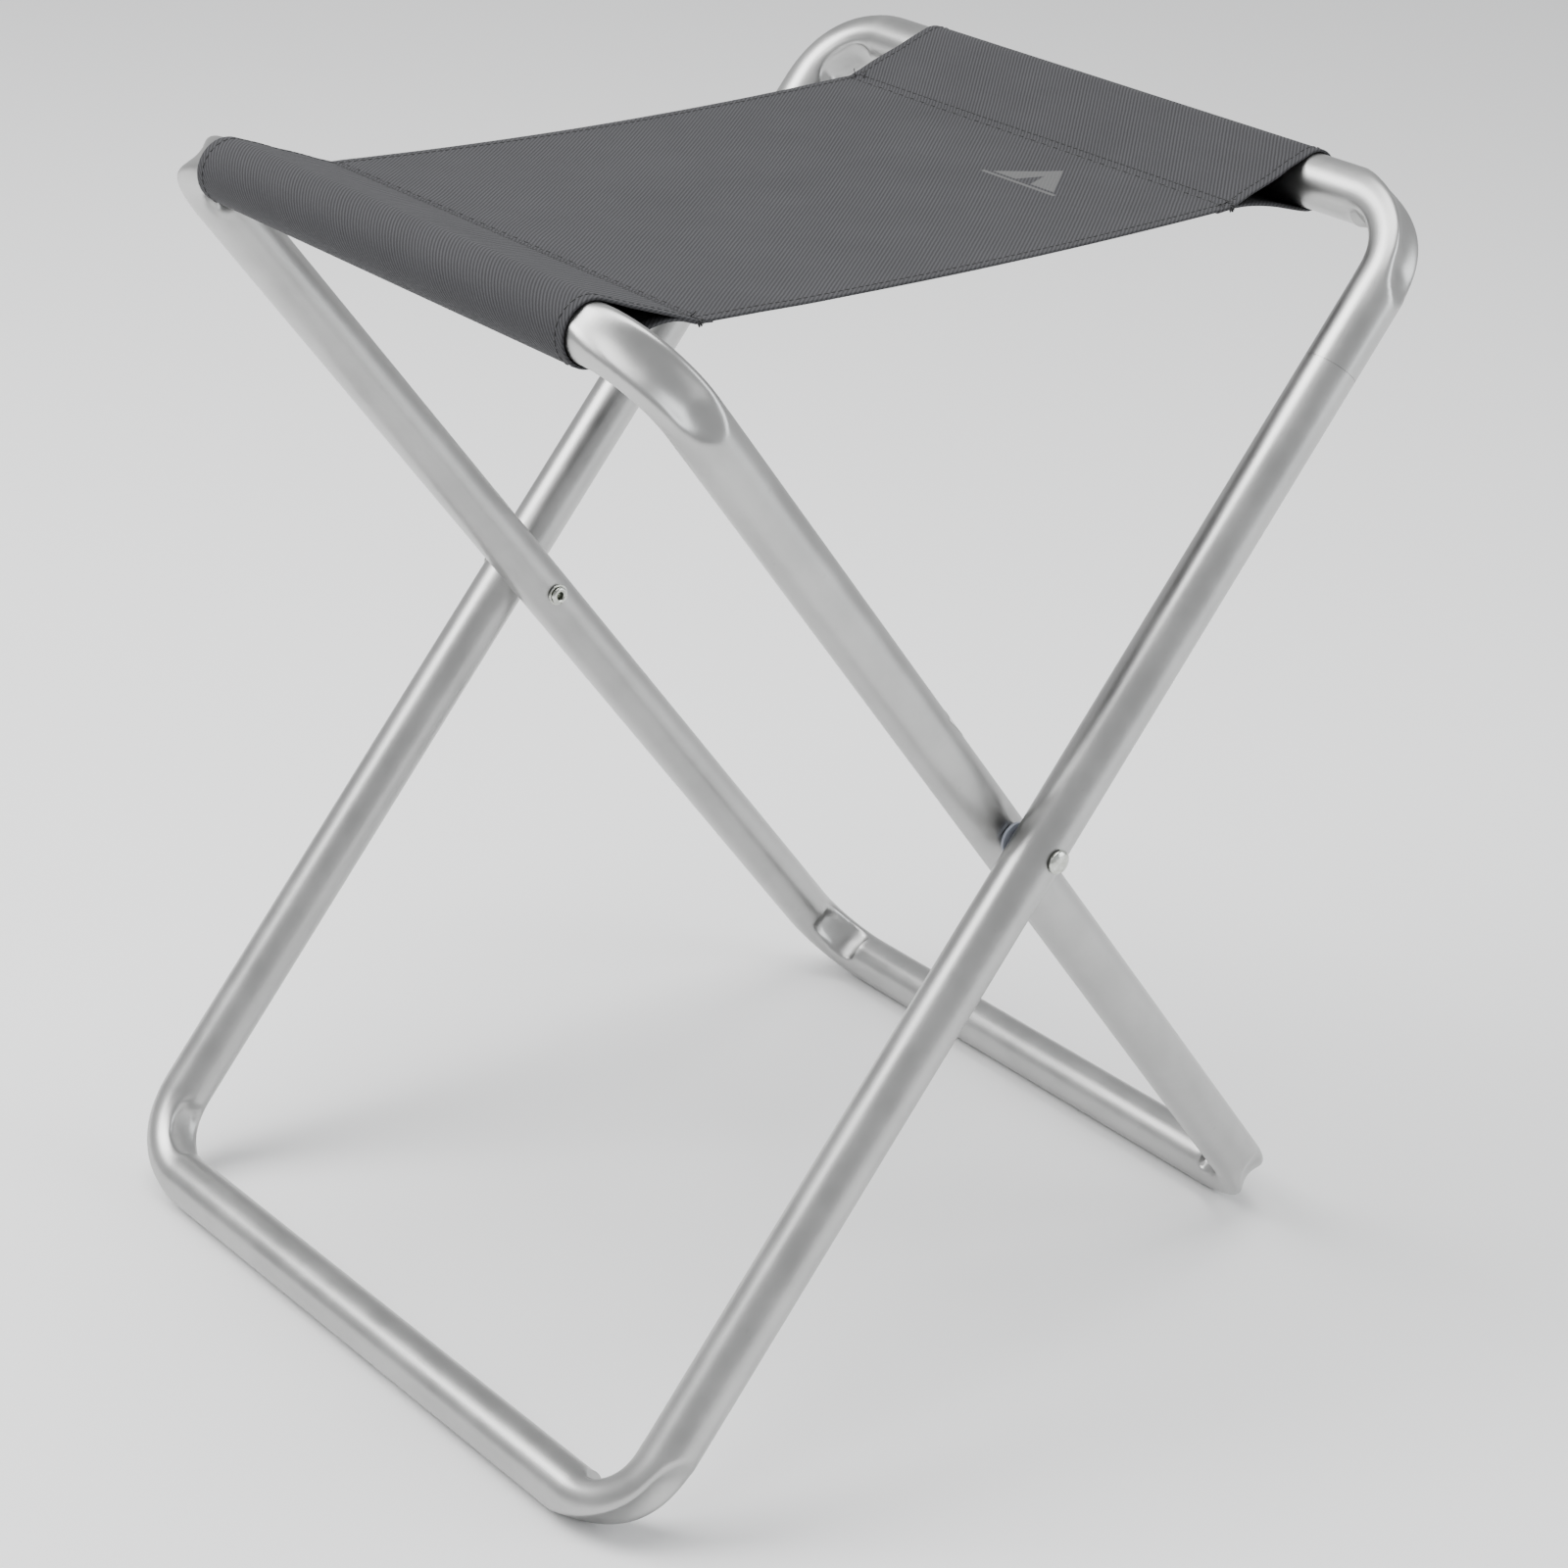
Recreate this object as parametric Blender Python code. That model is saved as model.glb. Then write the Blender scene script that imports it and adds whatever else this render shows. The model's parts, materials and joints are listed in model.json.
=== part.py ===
"""Folding camp stool.

Two closed rectangular frames, each bent from one round aluminium tube, cross each other like an X and
turn on two rivets. A cloth seat hangs between their top rails: each end is sewn into a tunnel that
wraps a rail. Folding swings the frames together, and the seat hangs down between them as a V.

The stool stands on z = 0 with its rivets' axis along X. The outer frame's top rail is at +Y and its
foot rail at -Y; the inner frame leans the other way.
"""

import math

import bmesh
import bpy
from mathutils import Matrix, Vector

# Frames. Lengths are in metres.
TUBE_DIAMETER = 0.022
TUBE_WALL = 0.0012
BEND_RADIUS = 0.030             # centreline of the four corner bends
INNER_FRAME_WIDTH = 0.287       # between the centrelines of its legs
FRAME_SPACING = 0.0016          # between the inner frame's legs and the outer frame's
LEG_ANGLE = math.radians(39.2)  # of each frame from the vertical, with the stool open
PIVOT_HEIGHT = 0.244            # rivets' axis above the floor
UPPER_LEG = 0.286               # rivets' axis to the top rail's centreline
BUTT_GAP = 0.0003               # where a tube's two ends meet
OUTER_BUTT_DROP = 0.069         # of the outer frame's butt joint below its top rail, along the leg

# Insert that joins a tube's two ends from inside
INSERT_LENGTH = 0.050
INSERT_WALL = 0.0012

# Rivets and washers
RIVET_DIAMETER = 0.006
RIVET_HOLE_CLEARANCE = 0.0001   # on the radius
RIVET_HEAD_DIAMETER = 0.010
RIVET_HEAD_HEIGHT = 0.0024
CLINCH_DIAMETER = 0.0078
CLINCH_HEIGHT = 0.0014
CLINCH_BORE_DIAMETER = 0.0034
CLINCH_BORE_DEPTH = 0.005
SPACER_DIAMETER = 0.014
CLINCH_WASHER_DIAMETER = 0.0096
CLINCH_WASHER_THICKNESS = 0.0008

# Seat
SEAT_END_MARGIN = 0.0025        # from each end of a tunnel to where the rail starts to bend
CLOTH_THICKNESS = 0.0012
TUNNEL_DEPTH = 0.047            # from a rail's centreline to the seam that closes the tunnel
SEAM_WIDTH = 0.007              # of the stitched strip that closes the tunnel
SEAM_THICKNESS = 0.0030
POCKET_END_HEIGHT = 0.0006

# Gaps between pieces that touch
CONTACT_GAP = 0.0003
RAIL_CLEARANCE = 0.00045        # round a rail, inside the tunnel

# Mesh fineness
TUBE_SIDES = 20
BEND_STEPS = 6
INSERT_SIDES = 16
RIVET_SIDES = 24
TUNNEL_STEPS = 18

# Sizes that follow
TUBE_RADIUS = TUBE_DIAMETER / 2
OUTER_FRAME_WIDTH = INNER_FRAME_WIDTH + 2 * (TUBE_DIAMETER + FRAME_SPACING)
LOWER_LEG = (PIVOT_HEIGHT - TUBE_RADIUS) / math.cos(LEG_ANGLE)
RAIL_HEIGHT = PIVOT_HEIGHT + UPPER_LEG * math.cos(LEG_ANGLE)
RAIL_REACH = UPPER_LEG * math.sin(LEG_ANGLE)  # of a top rail from the stool's middle plane
OUTER_BUTT_HEIGHT = UPPER_LEG - OUTER_BUTT_DROP  # above the rivets' axis, along the leg
SEAT_WIDTH = INNER_FRAME_WIDTH - 2 * (BEND_RADIUS + SEAT_END_MARGIN)
TUNNEL_POCKET = TUNNEL_DEPTH - SEAM_WIDTH  # from a rail's centreline to the narrow end of the hollow
RIVET_RADIUS = RIVET_DIAMETER / 2

ALUMINIUM = ("satin_aluminium", (0.60, 0.61, 0.60), 0.34, 1.0)
ZINC = ("zinc_plated_steel", (0.66, 0.67, 0.68), 0.25, 1.0)
NYLON = ("grey_nylon", (0.36, 0.39, 0.42), 0.50, 0.0)
CLOTH = ("seat_cloth", (0.125, 0.125, 0.135), 0.90, 0.0)


def clear_scene():
    for old in list(bpy.data.objects):
        bpy.data.objects.remove(old, do_unlink=True)


def surface(name, colour, roughness, metallic):
    """The material of that name, made on first use."""
    material = bpy.data.materials.get(name) or bpy.data.materials.new(name)
    material.use_nodes = True
    shader = material.node_tree.nodes["Principled BSDF"]
    shader.inputs["Base Color"].default_value = (*colour, 1.0)
    shader.inputs["Roughness"].default_value = roughness
    shader.inputs["Metallic"].default_value = metallic
    material.diffuse_color = (*colour, 1.0)
    return material


def make_object(name, bm, finish, parent, location=(0, 0, 0), tilt=0.0):
    """Turns a bmesh into a smooth-shaded object, placed under its parent and tilted about X."""
    bmesh.ops.recalc_face_normals(bm, faces=bm.faces)
    mesh = bpy.data.meshes.new(name)
    bm.to_mesh(mesh)
    bm.free()
    mesh.shade_smooth()
    mesh.set_sharp_from_angle(angle=math.radians(35))
    mesh.materials.append(surface(*finish))
    piece = bpy.data.objects.new(name, mesh)
    bpy.context.scene.collection.objects.link(piece)
    piece.parent = parent
    piece.location = location
    piece.rotation_euler = (tilt, 0, 0)
    return piece


def add_empty(name, location):
    empty = bpy.data.objects.new(name, None)
    bpy.context.scene.collection.objects.link(empty)
    empty.location = location
    return empty


def flat_to_vertex(radius, sides):
    """Radius of the corners of a polygon whose flats stand at the given radius."""
    return radius / math.cos(math.pi / sides)


class TubeSweep:
    """A tube's end face, a flat ring, that is pushed straight and swung round bends."""

    def __init__(self, bm, matrix, radius, wall, sides):
        self.bm = bm
        rim = bmesh.ops.create_circle(bm, cap_ends=True, segments=sides, radius=radius, matrix=matrix)["verts"]
        bore = rim[0].link_faces[0]
        self.end = bmesh.ops.inset_region(bm, faces=[bore], thickness=wall, use_even_offset=True,
                                          use_boundary=True)["faces"]
        bmesh.ops.delete(bm, geom=[bore], context="FACES_ONLY")
        self.grown = False

    def extrude(self):
        """Grows the wall from the end face, and returns the new end's vertices, still in place."""
        made = bmesh.ops.extrude_face_region(self.bm, geom=self.end)["geom"]
        if self.grown:
            bmesh.ops.delete(self.bm, geom=self.end, context="FACES_ONLY")
        self.grown = True
        self.end = [item for item in made if isinstance(item, bmesh.types.BMFace)]
        return [item for item in made if isinstance(item, bmesh.types.BMVert)]

    def push(self, offset):
        bmesh.ops.translate(self.bm, verts=self.extrude(), vec=offset)

    def bend(self, centre, axis, angle, steps):
        turn = Matrix.Rotation(angle / steps, 3, axis)
        for _ in range(steps):
            bmesh.ops.rotate(self.bm, verts=self.extrude(), cent=centre, matrix=turn)


def frame_sides(width):
    """A frame's four straight stretches, in order: start, direction, outward direction and length."""
    half = width / 2
    rail = width - 2 * BEND_RADIUS
    leg = UPPER_LEG + LOWER_LEG - 2 * BEND_RADIUS
    up, across = Vector((0, 0, 1)), Vector((1, 0, 0))
    return [
        (Vector((half, 0, BEND_RADIUS - LOWER_LEG)), up, across, leg),
        (Vector((half - BEND_RADIUS, 0, UPPER_LEG)), -across, up, rail),
        (Vector((-half, 0, UPPER_LEG - BEND_RADIUS)), -up, -across, leg),
        (Vector((BEND_RADIUS - half, 0, -LOWER_LEG)), across, -up, rail),
    ]


def section_matrix(point, outward, flat_angle, sides):
    """Places a tube's cross-section: a flat faces flat_angle from outward, towards the frame's +Y."""
    normal = Vector((0, 1, 0))
    turn = flat_angle + math.pi / sides
    axes = Matrix((outward, normal, outward.cross(normal))).transposed().to_4x4()
    return Matrix.Translation(point) @ axes @ Matrix.Rotation(turn, 4, "Z")


def frame_tube(width, first_side, butt_distance, flat_angle):
    """One tube bent round a closed rectangle in the XZ plane, with the rivets' axis at the origin.

    The tube starts and ends at butt_distance along its first side.
    """
    sides = frame_sides(width)
    order = sides[first_side:] + sides[:first_side]
    start, direction, outward, length = order[0]
    begin = start + butt_distance * direction
    bm = bmesh.new()
    matrix = section_matrix(begin, outward, flat_angle, TUBE_SIDES)
    tube = TubeSweep(bm, matrix, flat_to_vertex(TUBE_RADIUS, TUBE_SIDES), TUBE_WALL, TUBE_SIDES)
    tube.push(direction * (length - butt_distance))
    for place, along, out, run in order[1:]:
        tube.bend(place - out * BEND_RADIUS, Vector((0, -1, 0)), math.pi / 2, BEND_STEPS)
        tube.push(along * run)
    tube.bend(start - outward * BEND_RADIUS, Vector((0, -1, 0)), math.pi / 2, BEND_STEPS)
    tube.push(direction * (butt_distance - BUTT_GAP))
    return bm


def joint_insert(centre, direction):
    """A short tube that fits inside a frame's tube, across its butt joint."""
    outside = TUBE_RADIUS - TUBE_WALL - CONTACT_GAP
    outward = Vector((direction.z, 0, direction.x))
    begin = centre - direction * INSERT_LENGTH / 2
    bm = bmesh.new()
    tube = TubeSweep(bm, section_matrix(begin, outward, 0.0, INSERT_SIDES), outside, INSERT_WALL, INSERT_SIDES)
    tube.push(direction * INSERT_LENGTH)
    return bm


def turned(profile, closed):
    """Turns a profile of (x, radius) points about the X axis. A closed profile makes a ring."""
    bm = bmesh.new()
    verts = [bm.verts.new((x, 0, radius)) for x, radius in profile]
    pairs = list(zip(verts, verts[1:]))
    if closed:
        pairs.append((verts[-1], verts[0]))
    edges = [bm.edges.new(pair) for pair in pairs]
    bmesh.ops.spin(bm, geom=edges, cent=(0, 0, 0), axis=(1, 0, 0), angle=2 * math.pi, steps=RIVET_SIDES,
                   use_merge=True)
    bmesh.ops.remove_doubles(bm, verts=bm.verts, dist=1e-6)
    return bm


def washer(thickness, diameter):
    """A flat ring on the rivet, centred on the origin."""
    bore = RIVET_RADIUS + CONTACT_GAP
    half = thickness / 2
    return turned([(-half, bore), (-half, diameter / 2), (half, diameter / 2), (half, bore)], closed=True)


def pivot_rivet():
    """A rivet with its axis on X: domed head at +X outside, rolled tubular end inside.

    The origin is half way between the two frames' legs.
    """
    middle = TUBE_DIAMETER + FRAME_SPACING / 2
    head_seat = middle + CONTACT_GAP
    clinch_seat = -(middle + 2 * CONTACT_GAP + CLINCH_WASHER_THICKNESS)
    end = clinch_seat - CLINCH_HEIGHT
    head = RIVET_HEAD_DIAMETER / 2
    clinch = CLINCH_DIAMETER / 2
    bore = CLINCH_BORE_DIAMETER / 2
    dome = [
        (head_seat + RIVET_HEAD_HEIGHT * math.sin(angle), head * math.cos(angle))
        for angle in (math.radians(15 * step) for step in range(1, 6))
    ]
    profile = [(end + CLINCH_BORE_DEPTH, 0.0), (end + CLINCH_BORE_DEPTH, bore), (end + CLINCH_HEIGHT / 2, bore)]
    profile += [(end, (bore + clinch) / 2), (end + CLINCH_HEIGHT / 2, clinch), (clinch_seat, clinch)]
    profile += [(clinch_seat, RIVET_RADIUS), (head_seat, RIVET_RADIUS), (head_seat, head)]
    profile += dome + [(head_seat + RIVET_HEAD_HEIGHT, 0.0)]
    return turned(profile, closed=False)


def drill_rivet_holes(frame, pivot):
    """Cuts the rivets' holes through both legs of a frame with one long cutter."""
    bm = bmesh.new()
    radius = flat_to_vertex(RIVET_RADIUS + RIVET_HOLE_CLEARANCE, RIVET_SIDES)
    bmesh.ops.create_cone(bm, cap_ends=True, segments=RIVET_SIDES, radius1=radius, radius2=radius,
                          depth=OUTER_FRAME_WIDTH + 2 * TUBE_DIAMETER, matrix=Matrix.Rotation(math.pi / 2, 4, "Y"))
    cutter = make_object(frame.name + "_drill", bm, ZINC, pivot)
    cutter.hide_render = True
    cutter.display_type = "WIRE"
    hole = frame.modifiers.new("rivet holes", "BOOLEAN")
    hole.operation = "DIFFERENCE"
    hole.solver = "EXACT"
    hole.object = cutter


def tangent_loop(radius, tip, half_height):
    """Outline of a loop pulled round a circle: an arc, and straight sides to a blunt tip at +Y."""
    reach = math.hypot(tip, half_height)
    leave = math.atan2(half_height, tip) + math.acos(radius / reach)
    turn = 2 * (math.pi - leave) / TUNNEL_STEPS
    angles = [leave + turn * step for step in range(TUNNEL_STEPS + 1)]
    arc = [(radius * math.cos(angle), radius * math.sin(angle)) for angle in angles]
    return [(tip, half_height), *arc, (tip, -half_height)]


def seat_tunnel(side):
    """The tunnel of cloth round a rail, with its seam towards the stool's middle.

    The rail's centreline is at the origin. side is +1 for the rear rail and -1 for the front one.
    """
    inside = flat_to_vertex(TUBE_RADIUS, TUBE_SIDES) + RAIL_CLEARANCE
    outlines = (
        tangent_loop(inside + CLOTH_THICKNESS, TUNNEL_DEPTH, SEAM_THICKNESS / 2),
        tangent_loop(inside, TUNNEL_POCKET, POCKET_END_HEIGHT / 2),
    )
    bm = bmesh.new()
    skin, hollow = ([bm.verts.new((-SEAT_WIDTH / 2, -side * y, z)) for y, z in outline] for outline in outlines)
    wall = [
        bm.faces.new((skin[index - 1], skin[index], hollow[index], hollow[index - 1]))
        for index in range(len(skin))
    ]
    made = bmesh.ops.extrude_face_region(bm, geom=wall)["geom"]
    far_verts = [item for item in made if isinstance(item, bmesh.types.BMVert)]
    bmesh.ops.translate(bm, verts=far_verts, vec=(SEAT_WIDTH, 0, 0))
    return bm


def seat_panel(near, far, top):
    """A flat strip of the seat cloth between two values of Y, with its top face at the given height."""
    bm = bmesh.new()
    size = (SEAT_WIDTH, abs(far - near), CLOTH_THICKNESS)
    centre = Vector((0, (near + far) / 2, top - CLOTH_THICKNESS / 2))
    matrix = Matrix.Translation(centre) @ Matrix.Diagonal((*size, 1.0))
    bmesh.ops.create_cube(bm, size=1.0, matrix=matrix)
    return bm


def build_frames(pivot):
    """Both frames stand on a flat of their foot rails, which faces straight down."""
    side_right, side_top = 0, 1
    leg_start = LOWER_LEG - BEND_RADIUS
    outer = make_object("outer_frame_tube",
                        frame_tube(OUTER_FRAME_WIDTH, side_right, leg_start + OUTER_BUTT_HEIGHT, LEG_ANGLE),
                        ALUMINIUM, pivot, tilt=-LEG_ANGLE)
    inner = make_object("inner_frame_tube",
                        frame_tube(INNER_FRAME_WIDTH, side_top, INNER_FRAME_WIDTH / 2 - BEND_RADIUS, -LEG_ANGLE),
                        ALUMINIUM, pivot, tilt=LEG_ANGLE)
    drill_rivet_holes(outer, pivot)
    drill_rivet_holes(inner, pivot)
    butt = Vector((OUTER_FRAME_WIDTH / 2, 0, OUTER_BUTT_HEIGHT))
    make_object("outer_frame_joint_insert", joint_insert(butt, Vector((0, 0, 1))), ALUMINIUM, pivot,
                tilt=-LEG_ANGLE)
    butt = Vector((0, 0, UPPER_LEG))
    make_object("inner_frame_joint_insert", joint_insert(butt, Vector((1, 0, 0))), ALUMINIUM, pivot,
                tilt=LEG_ANGLE)


def build_pivots(pivot):
    """One rivet, spacer and clinch washer on each side; the left ones face the other way."""
    middle = (INNER_FRAME_WIDTH + OUTER_FRAME_WIDTH) / 4
    clinch_offset = TUBE_DIAMETER + FRAME_SPACING / 2 + CONTACT_GAP + CLINCH_WASHER_THICKNESS / 2
    for name, side in (("right", 1), ("left", -1)):
        rivet = make_object(name + "_pivot_rivet", pivot_rivet(), ZINC, pivot, (side * middle, 0, 0))
        rivet.rotation_euler = (0, 0, 0 if side > 0 else math.pi)
        make_object(name + "_spacer_washer", washer(FRAME_SPACING - 2 * CONTACT_GAP, SPACER_DIAMETER), NYLON,
                    pivot, (side * middle, 0, 0))
        make_object(name + "_clinch_washer", washer(CLINCH_WASHER_THICKNESS, CLINCH_WASHER_DIAMETER), ZINC,
                    pivot, (side * (middle - clinch_offset), 0, 0))


def build_seat():
    """Tunnels turn about their rails, and the panel folds along its middle, on its top face."""
    top = CLOTH_THICKNESS / 2
    seam = RAIL_REACH - TUNNEL_DEPTH - CONTACT_GAP
    rear_rail = add_empty("rear_rail_axis", (0, RAIL_REACH, RAIL_HEIGHT))
    front_rail = add_empty("front_rail_axis", (0, -RAIL_REACH, RAIL_HEIGHT))
    fold = add_empty("seat_fold_axis", (0, 0, RAIL_HEIGHT + top))
    make_object("seat_rear_tunnel", seat_tunnel(1), CLOTH, rear_rail)
    make_object("seat_front_tunnel", seat_tunnel(-1), CLOTH, front_rail)
    rear_panel = seat_panel(-TUNNEL_DEPTH - CONTACT_GAP, CONTACT_GAP / 2 - RAIL_REACH, top)
    make_object("seat_rear_panel", rear_panel, CLOTH, rear_rail)
    make_object("seat_front_panel", seat_panel(-seam, -CONTACT_GAP / 2, 0.0), CLOTH, fold)


def main():
    clear_scene()
    pivot = add_empty("pivot_axis", (0, 0, PIVOT_HEIGHT))
    build_frames(pivot)
    build_pivots(pivot)
    build_seat()


main()
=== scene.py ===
"""Looks of the folding camp stool, built round its packed frame.

The two tubes get their pressed bends, the rivets their rolled ends, and the seat is cut flat, hemmed and
wrapped round the top rails. Every finished piece sits at the origin with its place in its mesh.
"""

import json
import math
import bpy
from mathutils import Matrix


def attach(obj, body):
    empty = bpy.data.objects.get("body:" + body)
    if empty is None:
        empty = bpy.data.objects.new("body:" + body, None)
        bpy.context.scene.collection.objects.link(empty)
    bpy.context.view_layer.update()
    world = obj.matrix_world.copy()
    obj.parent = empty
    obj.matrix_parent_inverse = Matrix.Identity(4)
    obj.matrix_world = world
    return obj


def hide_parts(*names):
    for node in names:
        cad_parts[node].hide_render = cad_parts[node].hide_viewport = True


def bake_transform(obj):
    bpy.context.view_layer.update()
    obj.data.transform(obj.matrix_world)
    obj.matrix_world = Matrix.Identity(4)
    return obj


bl_info = {
    "name": "Folding Camp Stool",
    "version": (1, 0, 0),
    "blender": (4, 5, 0),
    "location": "3D View > Sidebar > Camp Stool",
    "description": "Bent tubes, rivets, hemmed cloth seat and stitching of a folding camp stool",
    "category": "Add Mesh",
}

from bisect import bisect_right

import bmesh
import bpy
from bpy.props import FloatProperty, FloatVectorProperty, PointerProperty
from mathutils import Matrix, Vector, noise

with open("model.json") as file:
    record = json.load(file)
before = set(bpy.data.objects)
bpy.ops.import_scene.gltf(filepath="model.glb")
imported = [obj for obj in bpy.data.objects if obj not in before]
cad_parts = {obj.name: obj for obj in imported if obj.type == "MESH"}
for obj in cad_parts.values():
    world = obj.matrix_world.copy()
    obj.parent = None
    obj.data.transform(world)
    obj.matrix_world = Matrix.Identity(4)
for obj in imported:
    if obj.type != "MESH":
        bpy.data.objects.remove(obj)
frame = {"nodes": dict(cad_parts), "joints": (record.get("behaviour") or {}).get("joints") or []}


def joint_place(name):
    return Vector(next(joint["pos_m"] for joint in frame["joints"] if joint["name"] == name))


# Places that the packed frame gives, in metres
PIVOT = joint_place("frame_fold")
REAR_RAIL = joint_place("rear_tunnel_turn")
LEG_ANGLE = math.atan2(REAR_RAIL.y, REAR_RAIL.z - PIVOT.z)
UPPER_LEG = (REAR_RAIL - PIVOT).length
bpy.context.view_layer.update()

# Tubes
TUBE_RADIUS = 0.011
TUBE_WALL = 0.0012
BEND_RADIUS = 0.030
INNER_WIDTH = 0.287
FRAME_SPACING = 0.0016
OUTER_WIDTH = INNER_WIDTH + 2 * (2 * TUBE_RADIUS + FRAME_SPACING)
LOWER_LEG = (PIVOT.z - TUBE_RADIUS) / math.cos(LEG_ANGLE)
FRAME_MIDDLE = (UPPER_LEG - LOWER_LEG) / 2
STRAIGHT_HALF = (UPPER_LEG + LOWER_LEG) / 2 - BEND_RADIUS
BUTT_GAP = 0.00012
OUTER_BUTT_DROP = 0.069
TUBE_SIDES = 64
BEND_STEPS = 32
FINE_STEP = 0.002
FINE_RUN = 0.020

# Presses: a hollow outside each bend and a stamp inside it, each with its reach along the tube
PRESSED_REACH = 0.044
HOLLOW_TO_RAIL = 0.030
HOLLOW_TO_LEG = 0.0320
HOLLOW_CURVE = 38.0
HOLLOW_ROUNDING = 0.0036
STAMP_TO_RAIL = 0.0190
STAMP_TO_LEG = 0.0240
STAMP_HALF_ANGLE = math.radians(52)

# Rivets
RIVET_RADIUS = 0.003
RIVET_HOLE_RADIUS = 0.0031
HEAD_RADIUS = 0.005
HEAD_HEIGHT = 0.0024
CLINCH_RADIUS = 0.0039
CLINCH_HEIGHT = 0.0014
CLINCH_BORE = 0.0017
WASHER_THICKNESS = 0.0008
WASHER_RADIUS = 0.0048
SPACER_THICKNESS = 0.00135
SPACER_RADIUS = 0.007
CONTACT_GAP = 0.0003

# Seat
SEAT_WIDTH = 0.222
SEAM_REACH = 0.047
SEAM_DROP = 0.0034
TUNNEL_RADIUS = 0.0126
CLOTH = 0.00055
HEM_BEND = 0.0006
HEM_WIDTH = 0.007
ROW_SPACING = 0.0048
HEM_ROW = 0.0034
STITCH_LENGTH = 0.0024
STITCH_PITCH = 0.0033
THREAD_PITCH = 0.00072
REAR_SLACK = 0.007
FRONT_SLACK = 0.028

# Label
LABEL_HEIGHT = 0.060
LABEL_WIDTH = 0.016
LABEL_GAP = 0.00016


class StoolFrameSettings(bpy.types.PropertyGroup):
    """Tubes, rivets and washers"""

    valley: FloatProperty(name="Bend hollow", description="Depth of the hollow in the outside of each bend",
                          default=0.0067, min=0.0, max=0.008, unit="LENGTH", precision=4)
    stamp: FloatProperty(name="Bend stamp", description="Tube's centreline to the stamp inside a bend",
                         default=0.0071, min=0.005, max=0.011, unit="LENGTH", precision=4)
    aluminium: FloatVectorProperty(name="Aluminium", description="Colour of the satin tubes",
                                   default=(0.43, 0.43, 0.425), min=0.0, max=1.0, subtype="COLOR")
    satin: FloatProperty(name="Satin", description="Roughness of the tubes", default=0.34, min=0.05, max=1.0,
                         subtype="FACTOR")
    zinc: FloatVectorProperty(name="Zinc", description="Colour of the plated rivets",
                              default=(0.56, 0.575, 0.545), min=0.0, max=1.0, subtype="COLOR")
    nylon: FloatVectorProperty(name="Nylon", description="Colour of the spacer washers",
                               default=(0.26, 0.28, 0.33), min=0.0, max=1.0, subtype="COLOR")


class StoolSeatSettings(bpy.types.PropertyGroup):
    """Cloth seat and its sewing"""

    sag: FloatProperty(name="Sag", description="How far the middle of the seat hangs below its seams",
                       default=0.0036, min=0.0, max=0.02, unit="LENGTH", precision=4)
    cloth: FloatVectorProperty(name="Cloth", description="Colour of the twill",
                               default=(0.040, 0.040, 0.043), min=0.0, max=1.0, subtype="COLOR")
    rib_pitch: FloatProperty(name="Rib pitch", description="Distance between the twill's slanted ribs",
                             default=0.0014, min=0.0005, max=0.004, unit="LENGTH", precision=5)
    mark: FloatVectorProperty(name="Mark", description="Colour of the plain tent mark",
                              default=(0.10, 0.10, 0.10), min=0.0, max=1.0, subtype="COLOR")
    # Painted shade: the thread is set far darker than the cloth so that the rows read as dark dashes,
    # standing in for the shade of the stitch holes and sunken rows.
    thread: FloatVectorProperty(name="Thread", description="Colour of the sewing thread",
                                default=(0.010, 0.010, 0.011), min=0.0, max=1.0, subtype="COLOR")


class StoolStageSettings(bpy.types.PropertyGroup):
    """Camera, floor and lights"""

    lens: FloatProperty(name="Lens", description="Focal length of the camera in millimetres", default=81.68,
                        min=20.0, max=300.0)
    azimuth: FloatProperty(name="Azimuth", description="Camera's angle round the stool, from the front",
                           default=math.radians(47.67), subtype="ANGLE")
    elevation: FloatProperty(name="Elevation", description="Camera's angle above the floor",
                             default=math.radians(25.62), subtype="ANGLE")
    roll: FloatProperty(name="Roll", description="Camera's turn about its own axis",
                        default=math.radians(3.60), subtype="ANGLE")
    distance: FloatProperty(name="Distance", description="From the camera to the stool's middle",
                            default=1.4968, min=0.5, max=5.0, unit="LENGTH")
    key_power: FloatProperty(name="Key light", description="Power of the large softbox in watts",
                             default=58.0, min=0.0, max=500.0)
    floor: FloatVectorProperty(name="Floor", description="Colour of the floor", default=(0.93, 0.93, 0.93),
                               min=0.0, max=1.0, subtype="COLOR")


# Meshes and objects


def add_piece(name, bm, material, body=None):
    """Makes a smooth piece at the origin from a bmesh whose vertices are already in place."""
    mesh = bpy.data.meshes.new(name)
    bm.to_mesh(mesh)
    bm.free()
    mesh.shade_smooth()
    mesh.materials.append(material)
    piece = bpy.data.objects.new(name, mesh)
    bpy.context.scene.collection.objects.link(piece)
    if body:
        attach(piece, body)
    return piece


def faces_and_verts(made):
    """The faces and the vertices of what an extrusion made."""
    faces = [item for item in made if isinstance(item, bmesh.types.BMFace)]
    return faces, [item for item in made if isinstance(item, bmesh.types.BMVert)]


def smooth(value):
    """0 below 0, 1 above 1, and an even slope between."""
    value = min(max(value, 0.0), 1.0)
    return value * value * (3 - 2 * value)


def stretch_stops(length, fine_centre=None):
    """Distances along a straight stretch where the tube gets a ring: fine at its ends and round a hole."""
    count = round(FINE_RUN / FINE_STEP)
    stops = {round(FINE_STEP * step, 6) for step in range(count + 1)}
    stops |= {round(length - FINE_STEP * step, 6) for step in range(count + 1)}
    if fine_centre is not None:
        stops |= {round(fine_centre + FINE_STEP * step, 6) for step in range(-count, count + 1)}
    return sorted(stops)


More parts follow.
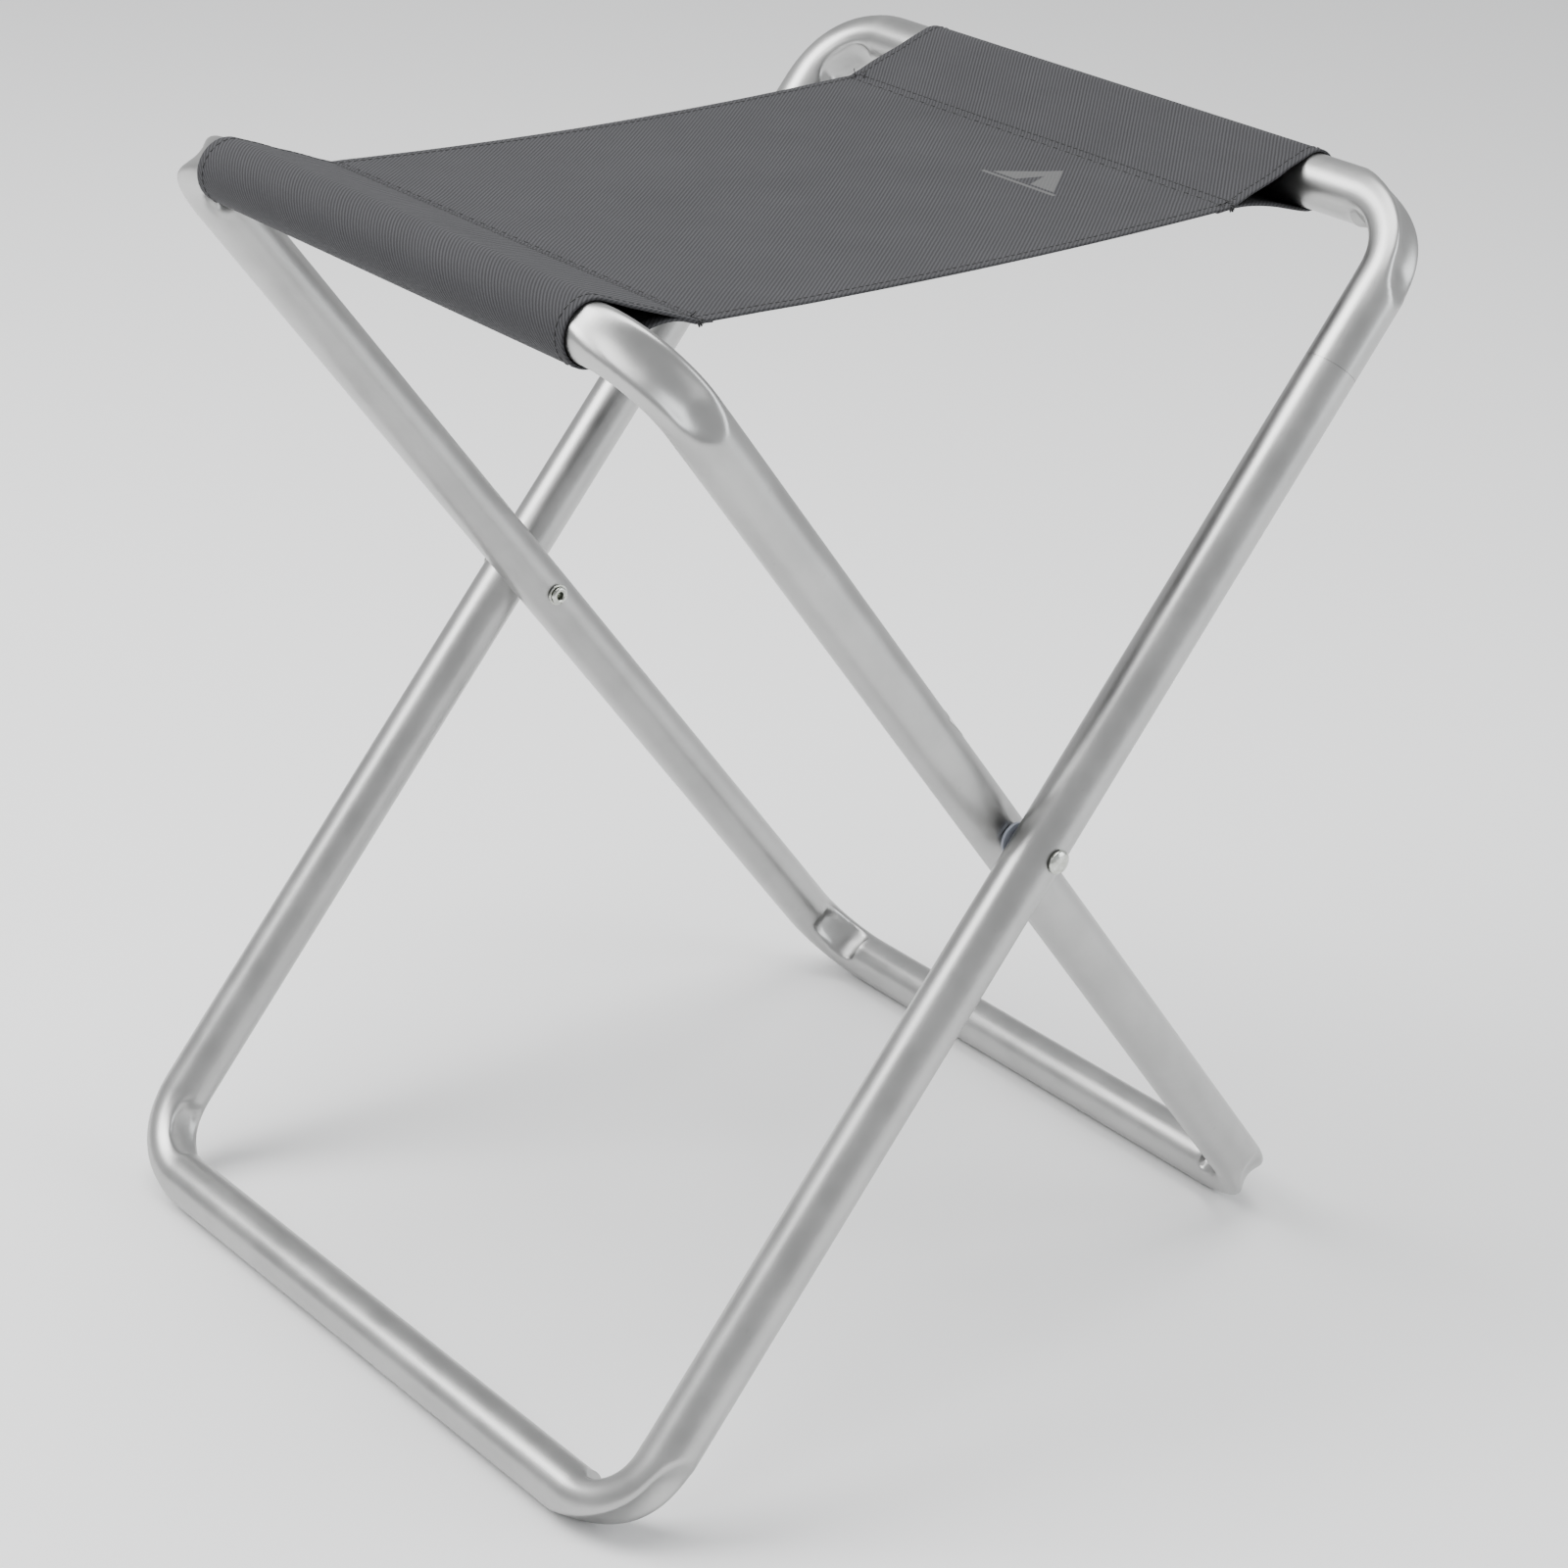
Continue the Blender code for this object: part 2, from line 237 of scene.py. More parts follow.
class TubeSweep:
    """A tube's end face, a flat ring, that is pushed straight and swung round bends.

    Each vertex keeps its distance along the tube, for the grain's own map.
    """

    def __init__(self, bm, matrix):
        self.bm = bm
        self.along = bm.verts.layers.float.new("along")
        self.around = bm.verts.layers.float.new("around")
        rim = bmesh.ops.create_circle(bm, cap_ends=True, segments=TUBE_SIDES, radius=TUBE_RADIUS,
                                      matrix=matrix)["verts"]
        bore = rim[0].link_faces[0]
        self.end = bmesh.ops.inset_region(bm, faces=[bore], thickness=TUBE_WALL, use_even_offset=True,
                                          use_boundary=True)["faces"]
        bmesh.ops.delete(bm, geom=[bore], context="FACES_ONLY")
        inverse = matrix.inverted()
        for vert in bm.verts:
            place = inverse @ vert.co
            vert[self.around] = math.atan2(place.y, place.x) % (2 * math.pi) / (2 * math.pi)
        self.travelled = 0.0
        self.grown = False

    def extrude(self, distance):
        """Grows the wall from the end face, and returns the new end's vertices, still in place."""
        made = bmesh.ops.extrude_face_region(self.bm, geom=self.end)["geom"]
        if self.grown:
            bmesh.ops.delete(self.bm, geom=self.end, context="FACES_ONLY")
        self.grown = True
        self.end, verts = faces_and_verts(made)
        self.travelled += distance
        for vert in verts:
            vert[self.along] = self.travelled
        return verts

    def push(self, offset):
        bmesh.ops.translate(self.bm, verts=self.extrude(offset.length), vec=offset)

    def bend(self, centre, axis, angle, steps):
        turn = Matrix.Rotation(angle / steps, 3, axis)
        arc = abs(angle) / steps * BEND_RADIUS
        for _ in range(steps):
            bmesh.ops.rotate(self.bm, verts=self.extrude(arc), cent=centre, matrix=turn)

    def map_grain(self):
        """Lays a map in metres on the tube: round it across, and along it up."""
        grain = self.bm.loops.layers.uv.new("grain")
        girth = 2 * math.pi * TUBE_RADIUS
        for face in self.bm.faces:
            rounds = [loop.vert[self.around] for loop in face.loops]
            crosses = max(rounds) - min(rounds) > 0.5
            for loop, share in zip(face.loops, rounds):
                share += 1.0 if crosses and share < 0.5 else 0.0
                loop[grain].uv = (share * girth, loop.vert[self.along])


def frame_sides(width):
    """A frame's four straight stretches, in order: start, direction, outward direction and length."""
    half = width / 2
    rail = width - 2 * BEND_RADIUS
    leg = UPPER_LEG + LOWER_LEG - 2 * BEND_RADIUS
    up, across = Vector((0, 0, 1)), Vector((1, 0, 0))
    return [
        (Vector((half, 0, BEND_RADIUS - LOWER_LEG)), up, across, leg),
        (Vector((half - BEND_RADIUS, 0, UPPER_LEG)), -across, up, rail),
        (Vector((-half, 0, UPPER_LEG - BEND_RADIUS)), -up, -across, leg),
        (Vector((BEND_RADIUS - half, 0, -LOWER_LEG)), across, -up, rail),
    ]


def rivet_distance(start, direction):
    """How far along a leg the rivets' axis passes, or None on a rail."""
    return -start.dot(direction) if direction.x == 0 else None


def sweep_frame(width, first_side, butt_distance):
    """A round tube bent round a closed rectangle in the XZ plane, with the rivets' axis at the origin."""
    sides = frame_sides(width)
    order = sides[first_side:] + sides[:first_side]
    start, direction, outward, length = order[0]
    normal = Vector((0, 1, 0))
    axes = Matrix((outward, normal, outward.cross(normal))).transposed().to_4x4()
    bm = bmesh.new()
    tube = TubeSweep(bm, Matrix.Translation(start + butt_distance * direction) @ axes)
    axis = Vector((0, -1, 0))

    def run(along, first, last, stops):
        marks = [first, *[stop for stop in stops if first + 1e-5 < stop < last - 1e-5], last]
        for low, high in zip(marks, marks[1:]):
            tube.push(along * (high - low))

    stops = stretch_stops(length, rivet_distance(start, direction))
    run(direction, butt_distance, length, stops)
    for place, along, out, reach in order[1:]:
        tube.bend(place - out * BEND_RADIUS, axis, math.pi / 2, BEND_STEPS)
        run(along, 0.0, reach, stretch_stops(reach, rivet_distance(place, along)))
    tube.bend(start - outward * BEND_RADIUS, axis, math.pi / 2, BEND_STEPS)
    run(direction, 0.0, butt_distance - BUTT_GAP, stops)
    tube.map_grain()
    return bm


def bend_section(place, width):
    """Where a point lies on a frame: its offset outward from the tube's centreline, and its distance along
    the tube from the middle of the nearest bend, positive towards the rail."""
    half = width / 2
    beyond_leg = abs(place.x) - (half - BEND_RADIUS)
    beyond_rail = abs(place.z - FRAME_MIDDLE) - STRAIGHT_HALF
    quarter = BEND_RADIUS * math.pi / 4
    if beyond_rail <= 0:
        return beyond_leg - BEND_RADIUS, beyond_rail - quarter
    if beyond_leg <= 0:
        return beyond_rail - BEND_RADIUS, quarter - beyond_leg
    angle = math.atan2(beyond_rail, beyond_leg)
    return math.hypot(beyond_leg, beyond_rail) - BEND_RADIUS, (angle - math.pi / 4) * BEND_RADIUS


def lower_of(first, second, rounding):
    """The lower of two heights, with the corner where they cross rounded off."""
    if rounding <= 0:
        return min(first, second)
    near = max(rounding - abs(first - second), 0.0) / rounding
    return min(first, second) - near * near * rounding / 4


def pressed_section(radius, angle, along, settings):
    """Where a bend's wall lies after both presses: (outward, sideways).

    angle is from outward, and along is from the bend's middle, positive towards the rail.
    """
    wall = TUBE_RADIUS - radius
    out, side = TUBE_RADIUS * math.cos(angle), TUBE_RADIUS * math.sin(angle)
    if out > 0:
        if along > 0:
            pressed = max(0.0, 1 - (along / HOLLOW_TO_RAIL) ** 2) ** 1.6
        else:
            pressed = smooth((1 + along / HOLLOW_TO_LEG) / 0.50)
        level = TUBE_RADIUS - settings.valley * pressed + HOLLOW_CURVE * pressed * side * side
        out = lower_of(out, level, HOLLOW_ROUNDING * smooth(pressed * 1.6))
        return out - wall * math.cos(angle), side - wall * math.sin(angle)
    inward = math.pi - abs(angle)
    to_rail = max(along / STAMP_TO_RAIL, 0.0)
    ends = to_rail ** 7 if along > 0 else (-along / STAMP_TO_LEG) ** 2.6
    footprint = ((inward / STAMP_HALF_ANGLE) ** 4 + ends) ** 0.25
    edge = 0.10 if along > 0 else 0.30
    floor = settings.stamp - 0.0007 * max(0.0, 1 - footprint ** 2) + 0.0012 * to_rail ** 2
    floor /= max(math.cos(inward), 0.3)
    result = TUBE_RADIUS
    if floor < result:
        result += (floor - result) * smooth((1.0 - footprint) / edge)
    result += 0.00012 * math.exp(-(((footprint - 1.07) / 0.07) ** 2)) - wall
    return result * math.cos(angle), result * math.sin(angle)


def press_bends(bm, width, settings):
    """Moves the walls of a swept frame into the hollows of its bends."""
    half = width / 2 - BEND_RADIUS
    for vert in bm.verts:
        out, along = bend_section(vert.co, width)
        if abs(along) > PRESSED_REACH:
            continue
        radius = math.hypot(out, vert.co.y)
        angle = math.atan2(vert.co.y, out)
        new_out, vert.co.y = pressed_section(radius, angle, along, settings)
        height = vert.co.z - FRAME_MIDDLE
        over = Vector((max(abs(vert.co.x) - half, 0.0), max(abs(height) - STRAIGHT_HALF, 0.0)))
        over = over.normalized() * (new_out - out)
        vert.co.x += math.copysign(1.0, vert.co.x) * over.x
        vert.co.z += math.copysign(1.0, height) * over.y


def press_pivots(bm, width, depth):
    """Flattens the outside of both legs a little where the washers sit."""
    for vert in bm.verts:
        out = abs(vert.co.x) - width / 2
        if abs(out) > TUBE_RADIUS + 1e-4 or out < 0:
            continue
        share = smooth(2.2 - abs(vert.co.z) / 0.0085) * smooth((out - 0.0045) / 0.004)
        vert.co.x -= math.copysign(depth * share, vert.co.x)


def drill(piece):
    """Cuts the rivets' holes through both legs."""
    bm = bmesh.new()
    matrix = Matrix.Translation(PIVOT) @ Matrix.Rotation(math.pi / 2, 4, "Y")
    bmesh.ops.create_cone(bm, cap_ends=True, segments=48, radius1=RIVET_HOLE_RADIUS,
                          radius2=RIVET_HOLE_RADIUS, depth=OUTER_WIDTH + 0.05, matrix=matrix)
    mesh = bpy.data.meshes.new("drill")
    bm.to_mesh(mesh)
    bm.free()
    cutter = bpy.data.objects.new("drill", mesh)
    bpy.context.scene.collection.objects.link(cutter)
    hole = piece.modifiers.new("rivet holes", "BOOLEAN")
    hole.operation = "DIFFERENCE"
    hole.solver = "EXACT"
    hole.object = cutter
    bpy.context.view_layer.update()
    shape = piece.evaluated_get(bpy.context.evaluated_depsgraph_get())
    drilled = bpy.data.meshes.new_from_object(shape)
    piece.modifiers.clear()
    piece.data = drilled
    bpy.data.objects.remove(cutter, do_unlink=True)
    if len(drilled.vertices) < 1000:
        raise RuntimeError(f"drilling emptied {piece.name}")


def build_tube(name, width, first_side, butt, tilt, flat, material, settings):
    bm = sweep_frame(width, first_side, butt)
    press_bends(bm, width, settings)
    press_pivots(bm, width, flat)
    matrix = Matrix.Translation(PIVOT) @ Matrix.Rotation(tilt, 4, "X")
    bmesh.ops.transform(bm, matrix=matrix, verts=bm.verts)
    bmesh.ops.recalc_face_normals(bm, faces=bm.faces)
    piece = add_piece(name, bm, material)
    drill(piece)
    piece.data.set_sharp_from_angle(angle=math.radians(50))
    return piece


# Materials


class Nodes:
    """A short way to add and join a material's nodes."""

    def __init__(self, name):
        self.material = bpy.data.materials.new(name)
        self.material.use_nodes = True
        self.tree = self.material.node_tree
        self.shader = self.tree.nodes["Principled BSDF"]

    def add(self, kind, inputs=None, **settings):
        node = self.tree.nodes.new(kind)
        for key, value in settings.items():
            setattr(node, key, value)
        for key, value in (inputs or {}).items():
            self.feed(node.inputs[key], value)
        return node

    def feed(self, socket, value):
        if isinstance(value, bpy.types.NodeSocket):
            self.tree.links.new(value, socket)
        else:
            socket.default_value = value

    def math(self, operation, first, second=0.0, third=0.0):
        node = self.add("ShaderNodeMath", {0: first, 1: second, 2: third}, operation=operation)
        return node.outputs[0]

    def noise(self, vector, scale, detail=3.0, roughness=0.5):
        inputs = {"Vector": vector, "Scale": scale, "Detail": detail, "Roughness": roughness}
        return self.add("ShaderNodeTexNoise", inputs).outputs["Fac"]

    def stretched(self, vector, scale):
        """A vector with its own scale on each axis."""
        return self.add("ShaderNodeMapping", {"Vector": vector, "Scale": scale}).outputs["Vector"]

    def ramp(self, value, low, high, to_low=0.0, to_high=1.0, curve="SMOOTHSTEP"):
        inputs = {"Value": value, "From Min": low, "From Max": high, "To Min": to_low, "To Max": to_high}
        return self.add("ShaderNodeMapRange", inputs, interpolation_type=curve).outputs["Result"]

    def blend(self, share, first, second, kind="MIX"):
        node = self.add("ShaderNodeMix", {0: share, 6: first, 7: second}, data_type="RGBA", blend_type=kind)
        return node.outputs[2]

    def place(self):
        """The point's place on the finished object."""
        return self.add("ShaderNodeTexCoord").outputs["Object"]

    def bump(self, height, distance, under=None):
        node = self.add("ShaderNodeBump", {"Height": height, "Distance": distance, "Strength": 1.0})
        if under is not None:
            self.feed(node.inputs["Normal"], under)
        return node.outputs["Normal"]

    def finish(self, **sockets):
        names = {"colour": "Base Color", "sheen": "Sheen Weight", "specular": "Specular IOR Level"}
        for key, value in sockets.items():
            self.feed(self.shader.inputs[names.get(key, key.replace("_", " ").title())], value)
        return self.material


def shade(colour, factor):
    return (*[min(value * factor, 1.0) for value in colour], 1.0)


def satin_aluminium(colour, roughness, own_map):
    """Satin tube: a soft lengthwise grain, cloudy anodising and a few fine nicks."""
    nodes = Nodes("satin_aluminium" if own_map else "satin_aluminium_plain")
    place = nodes.place()
    if own_map:
        flat = nodes.add("ShaderNodeUVMap", uv_map="grain").outputs["UV"]
        grain = nodes.stretched(flat, (2600.0, 22.0, 1.0))
    else:
        grain = nodes.stretched(place, (900.0, 900.0, 60.0))
    streaks = nodes.noise(grain, 1.0, 3.0, 0.6)
    clouds = nodes.noise(place, 38.0, 4.0, 0.55)
    specks = nodes.noise(place, 900.0, 2.0)
    nicks = nodes.ramp(nodes.noise(place, 210.0, 2.0, 0.4), 0.735, 0.76)
    body = nodes.blend(nodes.ramp(clouds, 0.3, 0.7), shade(colour, 0.93), shade(colour, 1.05))
    tinted = nodes.blend(nodes.math("MULTIPLY", nicks, 0.35), body, (0.36, 0.36, 0.36, 1.0))
    rough = nodes.math("ADD", nodes.ramp(clouds, 0.25, 0.75, roughness - 0.035, roughness + 0.045),
                       nodes.math("MULTIPLY_ADD", streaks, 0.06, -0.03))
    relief = nodes.bump(streaks, 0.000012)
    relief = nodes.bump(specks, 0.000010, relief)
    return nodes.finish(colour=tinted, metallic=1.0, roughness=rough, normal=relief)


def plated_zinc(colour):
    """Bright zinc: mirror-like with faint cloudy patches and wear."""
    nodes = Nodes("zinc_plated_steel")
    place = nodes.place()
    clouds = nodes.noise(place, 420.0, 4.0, 0.55)
    fine = nodes.noise(place, 2600.0, 2.0)
    dark = (colour[0] * 0.82, colour[1] * 0.82, colour[2] * 0.78, 1.0)
    body = nodes.blend(nodes.ramp(clouds, 0.35, 0.65), dark, shade(colour, 1.08))
    rough = nodes.ramp(clouds, 0.3, 0.7, 0.13, 0.27)
    return nodes.finish(colour=body, metallic=1.0, roughness=rough, normal=nodes.bump(fine, 0.000012))


def grey_nylon(colour):
    """Moulded nylon washers: matte with a slight grain."""
    nodes = Nodes("grey_nylon")
    place = nodes.place()
    clouds = nodes.noise(place, 300.0)
    fine = nodes.noise(place, 4200.0, 2.0)
    body = nodes.blend(clouds, shade(colour, 0.85), shade(colour, 1.18))
    rough = nodes.ramp(clouds, 0.3, 0.7, 0.34, 0.48)
    return nodes.finish(colour=body, metallic=0.0, roughness=rough, normal=nodes.bump(fine, 0.00002))


def tent_mask(nodes, across, along):
    """1 inside a plain tent: a triangle on a ground line, with its door left open."""
    centre_x, centre_y = 0.040, 0.2355
    side = nodes.math("SUBTRACT", across, centre_x)
    rise = nodes.math("SUBTRACT", along, centre_y - 0.011)
    edge = 0.00035

    def below(value, limit):
        return nodes.ramp(value, limit - edge, limit + edge, 1.0, 0.0, "LINEAR")

    standing = nodes.ramp(rise, -edge, edge, 0.0, 1.0, "LINEAR")
    width = nodes.math("ABSOLUTE", side)
    roof = nodes.math("MULTIPLY", below(nodes.math("MULTIPLY_ADD", rise, 0.78, width), 0.0172), standing)
    door = nodes.math("MULTIPLY", below(nodes.math("MULTIPLY_ADD", rise, 0.36, width), 0.0042), standing)
    canvas = nodes.math("MULTIPLY", roof, nodes.math("SUBTRACT", 1.0, door))
    ground = nodes.math("MULTIPLY", below(nodes.math("ABSOLUTE", nodes.math("ADD", rise, 0.0026)), 0.0009),
                        below(width, 0.0205))
    return nodes.math("MAXIMUM", canvas, ground)


def seat_twill(settings):
    """Dark grey twill, with painted shade in its rib valleys and painted light on its rib crests. The map is
    the flat cloth in metres, so ribs, rows and mark follow the weave.
    """
    nodes = Nodes("seat_twill")
    flat = nodes.add("ShaderNodeUVMap", uv_map="cut").outputs["UV"]
    place = nodes.place()
    split = nodes.add("ShaderNodeSeparateXYZ", {"Vector": flat})
    across, along = split.outputs["X"], split.outputs["Y"]
    drift = nodes.noise(flat, 260.0, 2.0)
    turns = 2 * math.pi / settings.rib_pitch
    slant = nodes.math("MULTIPLY_ADD", across, 0.787 * turns, nodes.math("MULTIPLY", along, 0.617 * turns))
    slant = nodes.math("MULTIPLY_ADD", drift, 1.5, slant)
    ribs = nodes.math("MULTIPLY_ADD", nodes.math("SINE", slant), 0.5, 0.5)
    weft = nodes.math("SINE", nodes.math("MULTIPLY", across, 2 * math.pi / THREAD_PITCH))
    warp = nodes.math("SINE", nodes.math("MULTIPLY", along, 2 * math.pi / THREAD_PITCH))
    threads = nodes.math("MULTIPLY_ADD", nodes.math("MULTIPLY", weft, warp), 0.5, 0.5)
    weave = nodes.math("ADD", nodes.math("MULTIPLY", ribs, 0.68), nodes.math("MULTIPLY", threads, 0.32))
    fibres = nodes.noise(flat, 5200.0, 3.0, 0.65)
    patches = nodes.noise(place, 26.0, 4.0, 0.6)
    slubs = nodes.noise(nodes.stretched(flat, (60.0, 1400.0, 1.0)), 1.0, 2.0)
    # Painted shade and light: the cloth colour is darkened in the rib valleys and lightened on the rib
    # crests, following the same weave height as the bump.
    dark, light = shade(settings.cloth, 0.56), shade(settings.cloth, 1.44)
    body = nodes.blend(nodes.ramp(weave, 0.1, 0.9, curve="LINEAR"), dark, light)
    tone = nodes.math("ADD", nodes.ramp(patches, 0.25, 0.75, 0.93, 1.06, "LINEAR"),
                      nodes.math("MULTIPLY_ADD", slubs, 0.14, -0.07))
    tone = nodes.math("ADD", tone, nodes.math("MULTIPLY_ADD", fibres, 0.24, -0.12))
    grey = nodes.add("ShaderNodeCombineColor", {0: tone, 1: tone, 2: tone})
    body = nodes.blend(1.0, body, grey.outputs["Color"], "MULTIPLY")
    mask = tent_mask(nodes, across, along)
    printed = nodes.blend(nodes.math("MULTIPLY", mask, nodes.ramp(weave, 0.0, 0.5, 0.78, 0.95)), body,
                          (*settings.mark, 1.0))
    relief = nodes.bump(weave, 0.00011)
    relief = nodes.bump(fibres, 0.00003, relief)
    return nodes.finish(colour=printed, roughness=nodes.ramp(weave, 0.0, 1.0, 0.86, 0.74, "LINEAR"),
                        normal=relief, sheen=0.02, sheen_roughness=0.45, specular=0.2)


def thread_with_painted_hole_shade(colour):
    """Twisted polyester thread, coloured far darker than the cloth as painted shade of the stitch holes and
    the sunken rows.
    """
    nodes = Nodes("thread_with_painted_hole_shade")
    place = nodes.place()
    twist = nodes.noise(place, 2400.0, 2.0)
    body = nodes.blend(twist, shade(colour, 0.7), shade(colour, 1.5))
    return nodes.finish(colour=body, roughness=0.6, normal=nodes.bump(twist, 0.00005))


def blank_paper():
    """A blank white label with a slight print sheen."""
    nodes = Nodes("blank_label_film")
    place = nodes.place()
    clouds = nodes.noise(place, 120.0)
    body = nodes.blend(clouds, (0.62, 0.62, 0.61, 1.0), (0.72, 0.72, 0.71, 1.0))
    return nodes.finish(colour=body, roughness=nodes.ramp(clouds, 0.3, 0.7, 0.36, 0.46))


# Rivets and washers


def turned(profile, closed):
    """Turns a profile of (x, radius) points about the X axis. A closed profile makes a ring."""
    bm = bmesh.new()
    verts = [bm.verts.new((x, 0, radius)) for x, radius in profile]
    pairs = list(zip(verts, verts[1:]))
    if closed:
        pairs.append((verts[-1], verts[0]))
    edges = [bm.edges.new(pair) for pair in pairs]
    bmesh.ops.spin(bm, geom=edges, cent=(0, 0, 0), axis=(1, 0, 0), angle=2 * math.pi, steps=64,
                   use_merge=True)
    bmesh.ops.remove_doubles(bm, verts=bm.verts, dist=1e-6)
    bmesh.ops.recalc_face_normals(bm, faces=bm.faces)
    return bm


def rivet_shape():
    """A rivet on X: domed head at +X, and at -X a tubular end rolled over its washer."""
    middle = 2 * TUBE_RADIUS + FRAME_SPACING / 2
    head_seat = middle + CONTACT_GAP
    clinch_seat = -(middle + 2 * CONTACT_GAP + WASHER_THICKNESS)
    end = clinch_seat - CLINCH_HEIGHT
    dome = [
        (head_seat + 0.0007 + (HEAD_HEIGHT - 0.0007) * math.sin(angle), HEAD_RADIUS * math.cos(angle) ** 0.8)
        for angle in (math.radians(6 * step) for step in range(15))
    ]
    roll_centre = (CLINCH_BORE + CLINCH_RADIUS) / 2
    roll = (CLINCH_RADIUS - CLINCH_BORE) / 2
    half = CLINCH_HEIGHT / 2
    rolled = [
        (clinch_seat - half - half * math.sin(angle), roll_centre - roll * math.cos(angle))
        for angle in (math.radians(20 * step) for step in range(10))
    ]
    profile = [(end + 0.005, 0.0), (end + 0.0046, CLINCH_BORE * 0.9)]
    profile += rolled
    profile += [(clinch_seat, CLINCH_RADIUS), (clinch_seat, RIVET_RADIUS), (head_seat, RIVET_RADIUS)]
    profile += [(head_seat, HEAD_RADIUS * 0.96), *dome, (head_seat + HEAD_HEIGHT, 0.0)]
    return turned(profile, closed=False)


def washer_shape(thickness, radius, bore):
    """A washer on X with softened edges."""
    half = thickness / 2
    bm = turned([(-half, bore), (-half, radius), (half, radius), (half, bore)], closed=True)
    sharp = [edge for edge in bm.edges if edge.calc_face_angle(0.0) > math.radians(40)]
    bmesh.ops.bevel(bm, geom=sharp, offset=thickness * 0.22, offset_type="OFFSET", affect="EDGES",
                    segments=3, profile=0.5, material=-1)
    bmesh.ops.recalc_face_normals(bm, faces=bm.faces)
    return bm


# Cloth


def span(low, high, step):
    """Even stops from low to high, about a step apart."""
    count = max(1, math.ceil((high - low) / step - 1e-6))
    return [low + (high - low) * index / count for index in range(count + 1)]


def across_stops():
    """Stops across the cut cloth: fine round both hems."""
    half = SEAT_WIDTH / 2
    turn = math.pi * HEM_BEND
    hem = span(0.0, turn, 0.0003)[1:] + span(turn, HEM_WIDTH, 0.0015)[1:]
    inside = span(half - 0.006, half, 0.001)
    right = inside + [half + value for value in hem]
    middle = span(-(half - 0.006), half - 0.006, 0.0022)[1:-1]
    return [-value for value in reversed(right)] + middle + right


def cut_cloth(stops_x, stops_y, shape):
    """Cuts a flat sheet, maps it in metres, moves it to its shape and gives it its thickness.

    shape(x, y) gives the place of the cloth's outer face.
    """
    bm = bmesh.new()
    columns, rows = len(stops_x) - 1, len(stops_y) - 1
    bmesh.ops.create_grid(bm, x_segments=columns, y_segments=rows, size=0.5)
    cut = bm.loops.layers.uv.new("cut")
    places = {}
    for vert in bm.verts:
        column = round((vert.co.x + 0.5) * columns)
        row = round((vert.co.y + 0.5) * rows)
        places[vert] = (stops_x[column], stops_y[row])
    for face in bm.faces:
        for loop in face.loops:
            loop[cut].uv = places[loop.vert]
    for vert, (x, y) in places.items():
        vert.co = shape(x, y)
    bm.normal_update()
    bmesh.ops.solidify(bm, geom=bm.faces[:], thickness=CLOTH)
    return bm


def hemmed(surface, x, y):
    """A point of the outer face, where the cloth past half its width is folded back under itself."""
    half = SEAT_WIDTH / 2
    extra = abs(x) - half
    if extra <= 0:
        return surface(x, y)
    side = math.copysign(1.0, x)
    turn = math.pi * HEM_BEND
    if extra < turn:
        angle = extra / HEM_BEND
        reach, depth = HEM_BEND * math.sin(angle), HEM_BEND * (1 - math.cos(angle))
    else:
        reach, depth = turn - extra, 2 * HEM_BEND
    base = surface(side * (half + reach), y)
    return base - depth * cloth_normal(surface, side * (half + min(reach, 0.0)), y)


def cloth_normal(surface, x, y):
    step = 0.0004
    run = surface(x + step, y) - surface(x - step, y)
    rise = surface(x, y + step) - surface(x, y - step)
    return run.cross(rise).normalized()


def ripple(x, y, scale_x, scale_y, seed):
    """A smooth unevenness between -1 and 1."""
    return noise.noise(Vector((x / scale_x, y / scale_y, seed)))


SEAM_Y = REAR_RAIL.y - SEAM_REACH
PANEL_LENGTH = 2 * SEAM_Y
SEAM_Z = REAR_RAIL.z - SEAM_DROP


def tunnel_profile(slack):
    """Points of a tunnel's outer face from the seam's top layer round the rail to its under layer.

    Each is (distance along the cloth, distance from the rail towards the middle, height over the rail).
    slack bows the under layer.
    """
    top = Vector((SEAM_REACH, -SEAM_DROP))
    under = Vector((SEAM_REACH - 0.002, -SEAM_DROP - 2 * CLOTH - 0.0002))
    leave = math.atan2(top.y, top.x) + math.acos(TUNNEL_RADIUS / top.length)
    meet = 2 * math.pi + math.atan2(under.y, under.x) - math.acos(TUNNEL_RADIUS / under.length)
    arc = [Vector((math.cos(angle), math.sin(angle))) * TUNNEL_RADIUS for angle in span(leave, meet, 0.10)]
    points = [top.lerp(arc[0], share) for share in span(0.0, 1.0, 0.05)[:-1]] + arc
    last = arc[-1]
    for share in span(0.0, 1.0, 0.05)[1:]:
        point = last.lerp(under, share)
        point.y += slack * share ** 1.5 * (1 - share)
        points.append(point)
    points.append(under + Vector((0.008, -0.0006)))
    lengths = [0.0]
    for first, second in zip(points, points[1:]):
        lengths.append(lengths[-1] + (second - first).length)
    return [(length, point.x, point.y) for length, point in zip(lengths, points)]


PROFILES = {1: tunnel_profile(REAR_SLACK), -1: tunnel_profile(FRONT_SLACK)}
TUNNEL_LENGTH = PROFILES[-1][-1][0]


def on_profile(profile, distance):
    """Place on a tunnel's outline at a distance along the cloth: (towards the middle, height)."""
    after = bisect_right(profile, distance, key=lambda point: point[0])
    after = min(max(after, 1), len(profile) - 1)
    first, second = profile[after - 1], profile[after]
    share = (distance - first[0]) / (second[0] - first[0])
    return first[1] + (second[1] - first[1]) * share, first[2] + (second[2] - first[2]) * share


